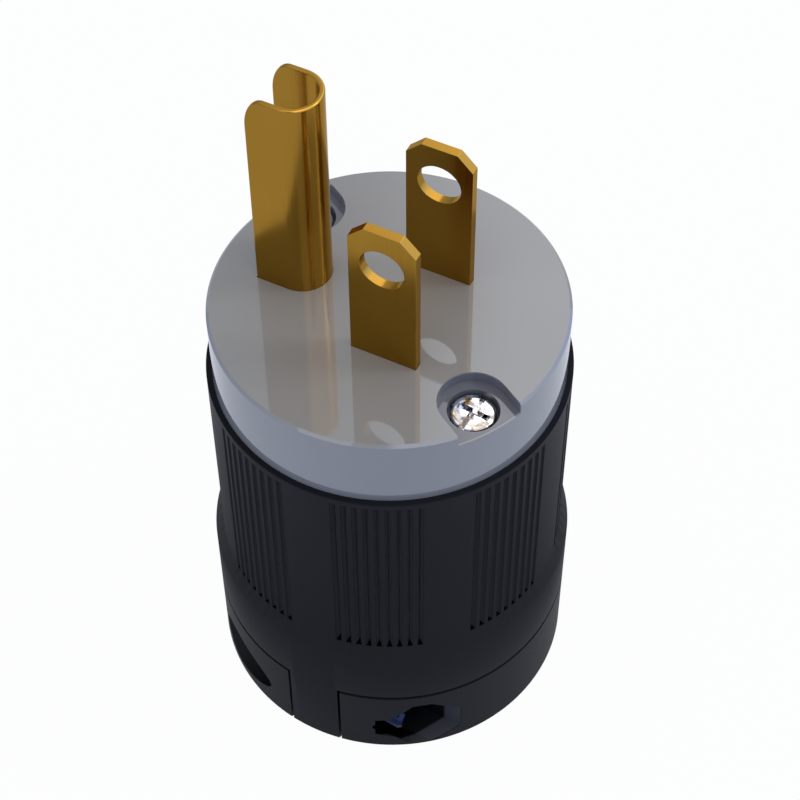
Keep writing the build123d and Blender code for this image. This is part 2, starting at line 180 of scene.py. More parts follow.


# Nylon off a spark-eroded tool: a soft even tone broken by fine pits. Grooves and the mouths of
# the clamp's pockets get painted light, a greyer tone for the light their recesses lose, and the
# rim, the grooves' lower ends and the pockets' depths get painted shade.
def satinNylon(name, dark, light, grooveLightTone, mouthLightTone, rimShadeTone, roughness, specular, pitMm):
    material, tree, place = newMaterial(name)
    flow = addNode(tree, "ShaderNodeTexNoise", inputs={
        "Vector": place, "Scale": 1 / (14 * mm), "Detail": 2.0})
    pits = addNode(tree, "ShaderNodeTexNoise", inputs={
        "Vector": place, "Scale": 1 / (pitMm * mm), "Detail": 3.0})
    tone = addNode(tree, "ShaderNodeMix", {"data_type": "RGBA"}, {
        "Factor": flow.outputs["Fac"], 6: hexColor(dark), 7: hexColor(light)})
    zones = satinZones
    radius, height = zoneSockets(tree, place)
    # Painted light: groove walls grow lighter towards their roots, against the shade of the narrow V
    depth = addNode(tree, "ShaderNodeMapRange", inputs={
        "Value": radius, "From Min": zones["grooveSkin"] * mm,
        "From Max": zones["grooveRoot"] * mm})
    aboveFoot = addNode(tree, "ShaderNodeMath", {"operation": "GREATER_THAN"}, {
        0: height, 1: zones["grooveAbove"] * mm})
    inGroove = addNode(tree, "ShaderNodeMath", {"operation": "MULTIPLY"}, {
        0: depth.outputs["Result"], 1: aboveFoot.outputs[0]})
    grooveLit = addNode(tree, "ShaderNodeMix", {"data_type": "RGBA"}, {
        "Factor": inGroove.outputs[0], 6: tone.outputs[2], 7: hexColor(grooveLightTone)})
    # Painted shade: the up-facing rim above this height is darkened
    rimPlane = addNode(tree, "ShaderNodeMath", {"operation": "GREATER_THAN"}, {
        0: height, 1: zones["rimAbove"] * mm})
    # Painted shade: the grooves' up-facing lower ends, inside the skin, are made near black
    grooveEnd = addNode(tree, "ShaderNodeMath", {"operation": "COMPARE"}, {
        0: height, 1: zones["grooveFoot"] * mm, 2: zones["footBand"] * mm})
    underSkin = addNode(tree, "ShaderNodeMath", {"operation": "LESS_THAN"}, {
        0: radius, 1: zones["grooveSkin"] * mm})
    endInside = addNode(tree, "ShaderNodeMath", {"operation": "MULTIPLY"}, {
        0: grooveEnd.outputs[0], 1: underSkin.outputs[0]})
    # Painted light and shade in the clamp's pockets: a lighter tone near the mouth, near black
    # deeper in
    outwards = addNode(tree, "ShaderNodeVectorMath", {"operation": "DOT_PRODUCT"}, {
        0: place, 1: zones["reachAlong"]})
    reach = addNode(tree, "ShaderNodeMath", {"operation": "ABSOLUTE"}, {
        0: outwards.outputs["Value"]})
    mouth = addNode(tree, "ShaderNodeMapRange", inputs={
        "Value": reach.outputs[0], "From Min": zones["mouthStart"] * mm,
        "From Max": zones["mouthEnd"] * mm})
    pocketLightAndShade = addNode(tree, "ShaderNodeMix", {"data_type": "RGBA"}, {
        "Factor": mouth.outputs["Result"], 6: hexColor(zones["holeShadeTone"]),
        7: hexColor(mouthLightTone)})
    belowSkin = addNode(tree, "ShaderNodeMath", {"operation": "LESS_THAN"}, {
        0: radius, 1: zones["skinRadius"] * mm})
    farOut = addNode(tree, "ShaderNodeMath", {"operation": "GREATER_THAN"}, {
        0: reach.outputs[0], 1: zones["pocketReach"] * mm})
    inJaw = addNode(tree, "ShaderNodeMath", {"operation": "COMPARE"}, {
        0: height, 1: zones["jawMiddle"] * mm, 2: zones["jawHalf"] * mm})
    jawInside = addNode(tree, "ShaderNodeMath", {"operation": "MULTIPLY"}, {
        0: belowSkin.outputs[0], 1: inJaw.outputs[0]})
    pocket = addNode(tree, "ShaderNodeMath", {"operation": "MULTIPLY"}, {
        0: jawInside.outputs[0], 1: farOut.outputs[0]})
    pocketLitAndShaded = addNode(tree, "ShaderNodeMix", {"data_type": "RGBA"}, {
        "Factor": pocket.outputs[0], 6: grooveLit.outputs[2], 7: pocketLightAndShade.outputs[2]})
    rimShaded = addNode(tree, "ShaderNodeMix", {"data_type": "RGBA"}, {
        "Factor": rimPlane.outputs[0], 6: pocketLitAndShaded.outputs[2], 7: hexColor(rimShadeTone)})
    finished = addNode(tree, "ShaderNodeMix", {"data_type": "RGBA"}, {
        "Factor": endInside.outputs[0], 6: rimShaded.outputs[2], 7: hexColor(zones["holeShadeTone"])})
    finishMaterial(tree, pits.outputs["Fac"], roughness, smoother=0.03, rougher=0.03, relief=0.12,
                   inputs={"Base Color": finished.outputs[2], "IOR": 1.5,
                           "Specular IOR Level": specular})
    return material


# Plated, dyed or turned screw metal: close to a mirror, clouded and faintly rippled by turning. A
# high contrast turns the clouds into painted reflections.
def screwMetal(name, dark, light, roughness, metallic=1.0, cloudMm=2.5, contrast=1.0):
    material, tree, place = newMaterial(name)
    noise = addNode(tree, "ShaderNodeTexNoise", inputs={
        "Vector": place, "Scale": 1 / (cloudMm * mm), "Detail": 3.0})
    clouds = addNode(tree, "ShaderNodeMapRange", inputs={
        "Value": noise.outputs["Fac"], "From Min": 0.5 - 0.5 / contrast,
        "From Max": 0.5 + 0.5 / contrast})
    ripples = addNode(tree, "ShaderNodeTexNoise", inputs={
        "Vector": place, "Scale": 1 / (0.4 * mm), "Detail": 2.0})
    tone = addNode(tree, "ShaderNodeMix", {"data_type": "RGBA"}, {
        "Factor": clouds.outputs["Result"], 6: hexColor(dark), 7: hexColor(light)})
    finishMaterial(tree, ripples.outputs["Fac"], roughness, smoother=0.03, rougher=0.05, relief=0.08,
                   inputs={"Base Color": tone.outputs[2], "Metallic": metallic})
    return material


bladeBrass = rolledBrass("polishedStripBrass", "#9a7228", "#a97f32", 0.18, 0.15)
faceNylon = polishedNylon("polishedGreyNylonShadedHollows", "#868683", "#8d8d8a", "#65676f", 0.04, 1.68)
# Shell tones: base, painted light in grooves and pocket mouths, painted shade on the rim
shellNylon = satinNylon("satinBlackNylonPaintedLightAndShade", "#242424", "#282828", "#5a5957", "#3c3d40",
                        "#1b1d22", 0.45, 0.03, 0.3)
carrierNylon = satinNylon("naturalNylon", "#c9c8c0", "#d6d5cd", "#d0cfc7", "#d0cfc7",
                          "#c9c8c0", 0.4, 0.5, 0.3)
# Bright nickel: its high-contrast dark and light clouds are painted reflections
nickelSteel = screwMetal("brightNickelPaintedReflections", "#8c847c", "#f3f5f9", 0.06,
                         cloudMm=1.0, contrast=6.0)
# Clamp screws: near-black brown is painted pocket shade, blue clouds are painted glints
clampScrewShadeAndGlints = screwMetal("screwPaintedShadeAndBlueGlints", "#191917", "#232a4c", 0.25)
plateSteel = screwMetal("dullZincPlate", "#8f8f8c", "#a3a39f", 0.4)
greenScrew = screwMetal("greenDyedZinc", "#1d5a35", "#246b40", 0.35, metallic=0.6)
# Nut: near-black brown is painted shade of its pocket, blue clouds are painted glints
nutShadeAndGlints = screwMetal("nutPaintedShadeAndBlueGlints", "#16130d", "#1c2048", 0.25)
turnedBrass = screwMetal("turnedBrass", "#a67c35", "#b98c42", 0.25)
print("materials made")


# A point in millimetres, by its distance from the plug's axis and its angle round it
def polar(radius, degrees, z=0.0):
    return Vector((radius * math.cos(math.radians(degrees)),
                   radius * math.sin(math.radians(degrees)), z))


# Shapes: the next five take millimetres and give a bmesh in metres.
# A profile of radius and height turned about the plug's axis
def spinProfile(points, closed=False, steps=192):
    bm = bmesh.new()
    verts = [bm.verts.new((r * mm, 0, z * mm)) for r, z in points]
    pairs = list(zip(verts, verts[1:])) + ([(verts[-1], verts[0])] if closed else [])
    edges = [bm.edges.new(pair) for pair in pairs]
    bmesh.ops.spin(bm, geom=verts + edges, cent=(0, 0, 0), axis=(0, 0, 1),
                   angle=2 * math.pi, steps=steps, use_merge=True)
    bmesh.ops.remove_doubles(bm, verts=bm.verts, dist=0.0001 * mm)
    bmesh.ops.recalc_face_normals(bm, faces=bm.faces)
    return bm


# A flat outline pushed along a direction
def prism(outline, along):
    bm = bmesh.new()
    base = bm.faces.new([bm.verts.new(Vector(point) * mm) for point in outline])
    grown = bmesh.ops.extrude_face_region(bm, geom=[base])
    moved = [item for item in grown["geom"] if isinstance(item, bmesh.types.BMVert)]
    bmesh.ops.translate(bm, verts=moved, vec=Vector(along) * mm)
    bmesh.ops.recalc_face_normals(bm, faces=bm.faces)
    return bm


# A cylinder between two points, or a cone with a radius for its end
def rod(start, end, radius, endRadius=None, segments=64):
    start = Vector(start) * mm
    end = Vector(end) * mm
    along = end - start
    turn = along.to_track_quat("Z", "Y").to_matrix().to_4x4()
    bm = bmesh.new()
    bmesh.ops.create_cone(bm, cap_ends=True, segments=segments, radius1=radius * mm,
                          radius2=(radius if endRadius is None else endRadius) * mm,
                          depth=along.length,
                          matrix=Matrix.Translation((start + end) / 2) @ turn)
    return bm


# A box between two corners
def block(low, high):
    low = Vector(low) * mm
    high = Vector(high) * mm
    size = Matrix.Diagonal((*(high - low), 1))
    bm = bmesh.new()
    bmesh.ops.create_cube(bm, size=1, matrix=Matrix.Translation((low + high) / 2) @ size)
    return bm


# Several shapes as one tool
def gather(shapes):
    whole = bmesh.new()
    for shape in shapes:
        mesh = bpy.data.meshes.new("part")
        shape.to_mesh(mesh)
        shape.free()
        whole.from_mesh(mesh)
        bpy.data.meshes.remove(mesh)
    return whole


# Turns a made piece about the world's origin, then moves it
def movePiece(piece, turn, move=(0, 0, 0)):
    shape = bmesh.new()
    shape.from_mesh(piece.data)
    bmesh.ops.rotate(shape, verts=shape.verts, cent=(0, 0, 0), matrix=turn)
    bmesh.ops.translate(shape, verts=shape.verts, vec=Vector(move) * mm)
    shape.to_mesh(piece.data)
    shape.free()


def meshObject(name, bm):
    mesh = bpy.data.meshes.new(name)
    bm.to_mesh(mesh)
    bm.free()
    item = bpy.data.objects.new(name, mesh)
    scene.collection.objects.link(item)
    return item


# Cuts, joins or trims a piece with a tool shape, and keeps the result as its mesh.
def carve(piece, tool, operation="DIFFERENCE"):
    toolObject = meshObject("tool", tool)
    step = piece.modifiers.new("carve", "BOOLEAN")
    step.operation = operation
    step.solver = "EXACT"
    step.object = toolObject
    graph = bpy.context.evaluated_depsgraph_get()
    mesh = bpy.data.meshes.new_from_object(piece.evaluated_get(graph))
    piece.modifiers.clear()
    piece.data = mesh
    bpy.data.objects.remove(toolObject)


# Broken edges, smooth shading, material, and what the piece rides on and stands for. Edges that
# turn by more than the angle are broken above the given height and stay sharp below it. The mesh
# is cut at that height first, so that no edge lies on both sides of it.
def complete(piece, material, body, node, edgeMm=0.12, angle=32, aboveMm=-1):
    mesh = piece.data
    shape = bmesh.new()
    shape.from_mesh(mesh)
    bmesh.ops.remove_doubles(shape, verts=shape.verts, dist=0.001 * mm)
    bmesh.ops.dissolve_limit(shape, angle_limit=math.radians(0.5), verts=shape.verts,
                             edges=shape.edges)
    bmesh.ops.bisect_plane(shape, geom=shape.verts[:] + shape.edges[:] + shape.faces[:],
                           plane_co=(0, 0, aboveMm * mm), plane_no=(0, 0, 1))
    weights = shape.edges.layers.float.new("bevel_weight_edge")
    for edge in shape.edges:
        if len(edge.link_faces) == 2 and edge.calc_face_angle() > math.radians(angle):
            broken = sum(vert.co.z for vert in edge.verts) / 2 > aboveMm * mm
            edge[weights] = float(broken)
            edge.smooth = broken
    shape.to_mesh(mesh)
    shape.free()
    mesh.materials.clear()
    mesh.materials.append(material)
    for polygon in mesh.polygons:
        polygon.use_smooth = True
    edges = piece.modifiers.new("edges", "BEVEL")
    edges.width = edgeMm * mm
    edges.segments = 3
    edges.limit_method = "WEIGHT"
    edges.harden_normals = True
    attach(piece, body)
    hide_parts(node)


# Face: a moulded disc with a broken rim, a spigot, blade slots and two open screw pockets
faceShape = {
    "rimEdge": 0.3, "pocketHalf": 3.75, "pocketDepth": 1.46, "recessRadius": 2.7,
    "recessDepth": 2.05, "screwHole": 1.7, "holeDepth": 8.0, "slotGap": 0.02, "bossGap": 0.2,
    "pocketRun": 10.0, "pocketRise": 5.0,  # how far the pocket's tool goes past rim and top
}


# The ground pin's U from above, its sheet made thicker by the gap on both sides
def pinOutline(gap, z):
    outer = plug["pinRadius"] + gap
    inner = plug["pinRadius"] - plug["pinSheet"] - gap
    back = plug["pinY"] - plug["pinLeg"] - gap
    outside = [polar(outer, a) for a in range(0, 181, 6)]
    inside = [polar(inner, a) for a in range(180, -1, -6)]
    centre = Vector((0, plug["pinY"], 0))
    points = [Vector((outer, back, 0))] + [centre + p for p in outside]
    points += [Vector((-outer, back, 0)), Vector((-inner, back, 0))]
    points += [centre + p for p in inside] + [Vector((inner, back, 0))]
    return [(p.x, p.y, z) for p in points]


def makeFace():
    top = plug["length"]
    rim = plug["faceRadius"]
    under = top - plug["faceDepth"]
    edge = faceShape["rimEdge"]
    disc = spinProfile([
        (0, plug["spigotBottom"]), (plug["spigotRadius"], plug["spigotBottom"]),
        (plug["spigotRadius"], under), (rim, under), (rim, top - edge), (rim - edge, top), (0, top)])
    face = meshObject("face_moulding", disc)
    bosses = []
    pockets = []
    recesses = []
    holes = []
    for angle in plug["screwAngles"]:
        spot = polar(plug["screwCircle"], angle)
        floor = top - faceShape["pocketDepth"]
        seat = floor - faceShape["recessDepth"]
        bosses.append(rod((spot.x, spot.y, plug["spigotBottom"] - past), (spot.x, spot.y, under),
                          plug["bossRadius"] + faceShape["bossGap"]))
        half = faceShape["pocketHalf"]
        run = polar(faceShape["pocketRun"], angle)
        outline = [spot + polar(half, angle + a) for a in range(90, 271, 6)]
        outline += [spot + polar(half, angle - 90) + run, spot + polar(half, angle + 90) + run]
        pockets.append(prism([(p.x, p.y, floor) for p in outline],
                             (0, 0, faceShape["pocketRise"])))
        recesses.append(rod((spot.x, spot.y, seat), (spot.x, spot.y, top + past),
                            faceShape["recessRadius"]))
        holes.append(rod((spot.x, spot.y, under - faceShape["holeDepth"]),
                         (spot.x, spot.y, seat + hair), faceShape["screwHole"]))
    for tools in (bosses, pockets, recesses, holes):
        carve(face, gather(tools))
    gap = faceShape["slotGap"]
    slots = [prism(pinOutline(gap, plug["spigotBottom"] - past), (0, 0, tall))]
    for side in (-1, 1):
        middle = Vector((side * plug["bladeX"] + plug["bladeShift"], plug["bladeY"], 0))
        half = Vector((plug["bladeThickness"] / 2 + gap, plug["bladeWidth"] / 2 + gap, 0))
        slots.append(block(middle - half + Vector((0, 0, plug["spigotBottom"] - past)),
                           middle + half + Vector((0, 0, top + past))))
    carve(face, gather(slots))
    complete(face, faceNylon, "plug", "face", edgeMm=0.1)


makeFace()
print("face made")

# Shell: grip sleeve with grooves, shoulder, collar, floor, screw bosses and clamp posts
shellShape = {
    "floorTop": 22.0, "ledgeTop": 27.0, "ledgeRadius": 14.6, "throatRadius": 8.3,
    "groups": 8, "grooves": 9, "pitch": 3.35, "grooveWidth": 0.65, "grooveDepth": 0.95,
    "grooveTop": 47.0, "insertRadius": 2.32, "insertDepth": 7.0, "screwHole": 1.7,
    "holeDepth": 13.6, "postHalf": 3.05, "postInner": 12.2, "postHole": 1.65, "footEdge": 0.4,
    "postHoleRun": 5.0,  # how far the hole's tool goes to either side of the post
    "bossDrop": 0.05, "postTaper": 0.5,  # keep their faces out of the rim's and the collar's
}


def makeShell():
    top = plug["length"] - plug["faceDepth"]
    ring = plug["ringBottom"]
    s = shellShape
    shell = meshObject("shell_moulding", spinProfile([
        (plug["boreRadius"], top), (plug["gripRadius"], top),
        (plug["gripRadius"], plug["shoulderTop"]), (plug["collarRadius"], plug["collarHeight"]),
        (plug["collarRadius"], ring), (s["throatRadius"], ring), (s["throatRadius"], s["floorTop"]),
        (s["ledgeRadius"], s["floorTop"]), (s["ledgeRadius"], s["ledgeTop"]),
        (plug["boreRadius"], s["ledgeTop"])], closed=True))
    outer = plug["collarRadius"]
    within = s["postInner"] - 2 * past
    posts = meshObject("posts", spinProfile([
        (within, 0), (outer - s["footEdge"], 0), (outer, s["footEdge"]), (outer, ring),
        (outer - s["postTaper"], ring + past), (within, ring + past)], closed=True))
    deep = outer - s["postInner"]
    trims = [block((side * outer - deep, -s["postHalf"], -past),
                   (side * outer + deep, s["postHalf"], tall)) for side in (-1, 1)]
    carve(posts, gather(trims), "INTERSECT")
    postShape = bmesh.new()
    postShape.from_mesh(posts.data)
    bpy.data.objects.remove(posts)
    carve(shell, postShape, "UNION")
    bosses = []
    sockets = []
    holes = []
    for angle in plug["screwAngles"]:
        spot = polar(plug["screwCircle"], angle)
        bosses.append(rod((spot.x, spot.y, s["floorTop"] - past),
                          (spot.x, spot.y, top - s["bossDrop"]), plug["bossRadius"]))
        sockets.append(rod((spot.x, spot.y, top - s["insertDepth"]),
                           (spot.x, spot.y, top + past), s["insertRadius"]))
        holes.append(rod((spot.x, spot.y, top - s["holeDepth"]),
                         (spot.x, spot.y, top - s["insertDepth"] + 0.1 * past), s["screwHole"]))
    carve(shell, gather(bosses), "UNION")
    carve(shell, gather(sockets))
    carve(shell, gather(holes))
    run = s["postHoleRun"]
    carve(shell, gather([
        rod((side * plug["clampX"], -run, plug["clampZ"]),
            (side * plug["clampX"], run, plug["clampZ"]), s["postHole"]) for side in (-1, 1)]))
    grooves = []
    for group in range(s["groups"]):
        for number in range(s["grooves"]):
            angle = (group + 0.5) * 360 / s["groups"]
            angle += (number - (s["grooves"] - 1) / 2) * s["pitch"]
            across = polar(s["grooveWidth"], angle + 90)
            root = polar(plug["gripRadius"] - s["grooveDepth"], angle)
            mouth = polar(plug["gripRadius"] + s["grooveDepth"], angle)
            outline = [(p.x, p.y, plug["shoulderTop"])
                       for p in (root, mouth - across, mouth + across)]
            grooves.append(prism(outline, (0, 0, s["grooveTop"] - plug["shoulderTop"])))
    carve(shell, gather(grooves))
    complete(shell, shellNylon, "plug", "shell", edgeMm=0.08)


makeShell()
print("shell made")

# Terminals: the flange under the face and the tab that carries the screw
terminal = {
    "tabWidth": 6.4, "tabSheet": 1.2, "tabX": 11.852, "tabLength": 12.5, "pinTabY": -13.899,
    "screwZ": 35.6, "screwHole": 1.9,
    "edgeDepth": 2.0,  # edges are broken down to this far under the face's top
}

# Flat blades: clipped corners and a round hole near the tip
bladeShape = {"above": 18.1, "corner": 1.7, "holeRadius": 2.42, "holeHeight": 13.25}


def makeBlade(side, node):
    low = plug["spigotBottom"] - terminal["tabSheet"]
    top = plug["length"] + bladeShape["above"]
    half = plug["bladeWidth"] / 2
    corner = bladeShape["corner"]
    y = plug["bladeY"]
    x = side * plug["bladeX"] + plug["bladeShift"] - plug["bladeThickness"] / 2
    outline = [(y - half, low), (y + half, low), (y + half, top - corner),
               (y + half - corner, top), (y - half + corner, top), (y - half, top - corner)]
    blade = meshObject(node + "_strip", prism([(x, b, c) for b, c in outline],
                                              (plug["bladeThickness"], 0, 0)))
    holeZ = plug["length"] + bladeShape["holeHeight"]
    carve(blade, rod((x - 2 * past, y, holeZ), (x + 4 * past, y, holeZ), bladeShape["holeRadius"],
                     segments=96))
    inner = side * plug["bladeX"]
    tabIn = side * terminal["tabX"]
    tabOut = side * (terminal["tabX"] + terminal["tabSheet"])
    bottom = plug["spigotBottom"] - terminal["tabLength"]
    bend = [(inner, plug["spigotBottom"]), (tabOut, plug["spigotBottom"]), (tabOut, bottom),
            (tabIn, bottom), (tabIn, low), (inner, low)]
    start = y - terminal["tabWidth"] / 2
    carve(blade, prism([(a, start, c) for a, c in bend], (0, terminal["tabWidth"], 0)), "UNION")
    carve(blade, rod((tabIn - side * past, y, terminal["screwZ"]),
                     (tabOut + side * past, y, terminal["screwZ"]), terminal["screwHole"]))
    complete(blade, bladeBrass, "plug", node, edgeMm=0.14,
             aboveMm=plug["length"] - terminal["edgeDepth"])


makeBlade(1, "blade_line")
makeBlade(-1, "blade_neutral")
print("blades made")

# Ground pin: a sheet rolled to a U, its free corners rounded off
pinShape = {
    "above": 25.6, "cornerDepth": 2.1, "cornerHeight": 3.7,
    "cornerRun": 5.0,  # how far the corners' tool goes to either side
    "tabHalf": 2.75,  # narrower than the U, whose edges would meet the tab's in slivers
}


def makePin():
    low = plug["spigotBottom"] - terminal["tabSheet"]
    top = plug["length"] + pinShape["above"]
    back = plug["pinY"] - plug["pinLeg"]
    pin = meshObject("ground_pin_sheet", prism(pinOutline(0, low), (0, 0, top - low)))
    deep = pinShape["cornerDepth"]
    high = pinShape["cornerHeight"]
    curve = [(back + deep - deep * math.sin(math.radians(a)),
              top - high + high * math.cos(math.radians(a))) for a in range(0, 91, 5)]
    outline = curve + [(back - past, top - high), (back - past, top + past),
                       (back + deep, top + past)]
    run = pinShape["cornerRun"]
    carve(pin, prism([(-run, b, c) for b, c in outline], (2 * run, 0, 0)))
    half = pinShape["tabHalf"]
    sheet = terminal["tabSheet"]
    front = plug["pinY"] + plug["pinRadius"]
    tab = terminal["pinTabY"]
    carve(pin, block((-half, tab, low), (half, front, plug["spigotBottom"])), "UNION")
    carve(pin, block((-half, tab, plug["spigotBottom"] - terminal["tabLength"]),
                     (half, tab + sheet, plug["spigotBottom"] - hair)), "UNION")
    carve(pin, rod((0, tab - past, terminal["screwZ"]), (0, tab + 2 * past, terminal["screwZ"]),
                   terminal["screwHole"]))
    complete(pin, bladeBrass, "plug", "ground_pin", edgeMm=0.2,
             aboveMm=plug["length"] - terminal["edgeDepth"])


makePin()
print("ground pin made")

# Screws: pan heads with a slot and a tapered cross arm. armTop and armBottom are half the arm's
# length at its top and floor, as shares of the head's radius.
screwShape = {
    "assembly": {"head": 2.4, "height": 1.9, "shank": 1.5, "length": 13.6, "slot": 0.6},
    "terminal": {"head": 3.1, "height": 1.9, "shank": 1.75, "length": 4.9, "slot": 0.8},
    "clamp": {"head": 2.75, "height": 2.0, "shank": 1.4, "length": 14.6, "slot": 0.7},
    "slotDepth": 0.8, "armTop": 0.8, "armBottom": 0.25, "armDepth": 1.3, "armWidth": 0.66,
    "crownPower": 0.3, "crownShare": 0.25,  # how square the head's edge is, how high its dome
    "tipTaper": 0.3, "tipLength": 0.5,
}


# The seat is the point under the head. The slot lies along one direction, the head faces another.
def makeScrew(name, kind, seat, outwards, slotAlong, material, body):
    s = screwShape
    k = s[kind]
    head = k["head"]
    high = k["height"]
    dome = s["crownShare"]
    crown = [(head * math.cos(math.radians(a)) ** s["crownPower"],
              high * (1 - dome + dome * math.sin(math.radians(a)))) for a in range(0, 86, 6)]
    tip = k["length"]
    profile = [(0, -tip), (k["shank"] - s["tipTaper"], -tip), (k["shank"], -tip + s["tipLength"]),
               (k["shank"], 0), (head, 0)] + crown + [(0, high)]
    screw = meshObject(name + "_turned", spinProfile(profile, steps=96))
    floor = high - s["armDepth"]
    over = high + 0.1 * past
    wide = s["armTop"] * head
    narrow = s["armBottom"] * head
    arm = [(-wide, over), (-narrow, floor), (narrow, floor), (wide, over)]
    half = s["armWidth"] / 2
    carve(screw, prism([(half, a, c) for a, c in arm], (-2 * half, 0, 0)))
    slot = k["slot"] / 2
    carve(screw, block((-head - past, -slot, high - s["slotDepth"]),
                       (head + past, slot, high + past)))
    along = Vector(slotAlong)
    facing = Vector(outwards)
    movePiece(screw, Matrix((along, facing.cross(along), facing)).transposed(), seat)
    complete(screw, material, body, name, edgeMm=0.05, angle=28)


screwSeat = plug["length"] - faceShape["pocketDepth"] - faceShape["recessDepth"]
slotAngle = 174  # where tightening left the front screw, in the photograph
for number, angle in enumerate(plug["screwAngles"]):
    spot = polar(plug["screwCircle"], angle, screwSeat)
    makeScrew(f"assembly_screw_{number + 1}", "assembly", spot, (0, 0, 1), polar(1, slotAngle),
              nickelSteel, "plug")
tabFace = terminal["tabX"] + terminal["tabSheet"]
makeScrew("terminal_screw_line", "terminal", (tabFace, plug["bladeY"], terminal["screwZ"]),
          (1, 0, 0), (0, 1, 0), turnedBrass, "plug")
makeScrew("terminal_screw_neutral", "terminal", (-tabFace, plug["bladeY"], terminal["screwZ"]),
          (-1, 0, 0), (0, -1, 0), nickelSteel, "plug")
makeScrew("terminal_screw_ground", "terminal", (0, terminal["pinTabY"], terminal["screwZ"]),
          (0, -1, 0), (1, 0, 0), greenScrew, "plug")
for number, side in enumerate((1, -1)):
    makeScrew(f"clamp_screw_{number + 1}", "clamp",
              (side * plug["clampX"], -side * plug["clampSeat"], plug["clampZ"]),
              (0, -side, 0), (1, 0, 0), clampScrewShadeAndGlints, ("clamp_half_b", "clamp_half_a")[number])
print("screws made")

# Clamp jaws: half a collar each, with a ridged cord seat, a round recess for a screw head and
# a hexagonal nut socket at the bottom of a wider pocket
jawShape = {
    "height": 10.85, "parting": 0.3, "postGap": 0.3, "cordRadius": 5.0, "mouthEdge": 0.8,
    "ridges": 2, "ridgePitch": 2.0, "ridgeDepth": 0.7, "screwHole": 1.65, "recessRadius": 3.0,
    "nutFlats": 5.0, "nutHeight": 2.2, "nutHole": 1.45, "socketFlats": 5.3, "socketDepth": 2.4,
    "nutEdge": 0.05, "nutFlare": 2.2,  # the cone that takes the corners off the nut's outer end
    # The nut pocket's mouth: steps across the plug and up it from the nut's centre
    "pocket": ((2.9, 0), (0.65, 4.65), (-0.65, 4.65), (-3.23, 2.0), (-3.23, -2.0),
               (-0.65, -4.0), (0.65, -4.0)),
}


# A hexagon whose corners point along the plug, extruded along y
def hexagon(x, y, z, flats, depth):
    radius = flats / math.sqrt(3)
    corners = [(x + radius * math.sin(math.radians(a)), y, z + radius * math.cos(math.radians(a)))
               for a in range(0, 360, 60)]
    return prism(corners, (0, depth, 0))


def makeJaw(turn, node, body):
    j = jawShape
    edge = shellShape["footEdge"]
    cord = j["cordRadius"]
    ridges = []
    for number in range(j["ridges"]):
        z = j["height"] - edge - number * j["ridgePitch"]
        ridges += [(cord, z), (cord - j["ridgeDepth"], z - j["ridgePitch"] / 2)]
    ridges.append((cord, j["height"] - edge - j["ridges"] * j["ridgePitch"]))
    profile = [(cord + j["mouthEdge"], 0), (plug["collarRadius"] - edge, 0),
               (plug["collarRadius"], edge), (plug["collarRadius"], j["height"]),
               (cord, j["height"])] + ridges + [(cord, j["mouthEdge"])]
    jaw = meshObject(node + "_moulding", spinProfile(profile, closed=True))
    carve(jaw, block((-beyond, j["parting"], -past), (beyond, beyond, tall)), "INTERSECT")
    inner = shellShape["postInner"] - j["postGap"]
    wide = shellShape["postHalf"] + j["postGap"]
    carve(jaw, gather([block((inner, -past, -past), (beyond, wide, tall)),
                       block((-beyond, -past, -past), (-inner, wide, tall))]))
    x = plug["clampX"]
    z = plug["clampZ"]
    seat = plug["clampSeat"]
    carve(jaw, gather([rod((side * x, 0, z), (side * x, tall, z), j["screwHole"])
                       for side in (-1, 1)]))
    carve(jaw, gather([rod((-x, seat, z), (-x, beyond, z), j["recessRadius"]),
                       hexagon(x, seat, z, j["socketFlats"], beyond)]))
    floor = seat + j["socketDepth"]
    carve(jaw, prism([(x + a, floor, z + c) for a, c in j["pocket"]], (0, beyond, 0)))
    movePiece(jaw, Matrix.Rotation(math.radians(turn), 3, "Z"))
    complete(jaw, shellNylon, body, node, edgeMm=0.1)


def makeNut(side, node, body):
    j = jawShape
    x = side * plug["clampX"]
    y = side * plug["clampSeat"]
    z = plug["clampZ"]
    nut = meshObject(node + "_hexagon", hexagon(x, y, z, j["nutFlats"], side * j["nutHeight"]))
    corner = j["nutFlats"] / 2 + j["nutEdge"]
    outside = y + side * (j["nutHeight"] + 0.1 * hair)
    carve(nut, rod((x, y - side * past, z), (x, outside, z), corner + j["nutFlare"], corner,
                   segments=96), "INTERSECT")
    carve(nut, rod((x, y - 5 * past, z), (x, y + 5 * past, z), j["nutHole"]))
    complete(nut, nutShadeAndGlints, body, node, edgeMm=0.05)


makeJaw(0, "jaw_a", "clamp_half_a")
makeJaw(180, "jaw_b", "clamp_half_b")
makeNut(1, "clamp_nut_1", "clamp_half_a")
makeNut(-1, "clamp_nut_2", "clamp_half_b")
print("cord clamp made")

# The pieces inside the plug keep their solids' shape and get their finish here
innerFinish = {
    "carrier": carrierNylon, "insert_1": turnedBrass, "insert_2": turnedBrass,
    "pressure_plate_line": plateSteel, "pressure_plate_neutral": plateSteel,
    "pressure_plate_ground": plateSteel,
}
for node, material in innerFinish.items():
    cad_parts[node].material_slots[0].material = material
print("inner pieces finished")

# Camera at the photograph's viewing angle
view = {
    "azimuth": 116.731, "elevation": 51.694, "roll": -0.394, "distance": 209.135,
    "target": (11.213, 6.822, 56.8), "lens": 94.46, "sensor": 36,
    "nearest": 0.01,  # in metres
}


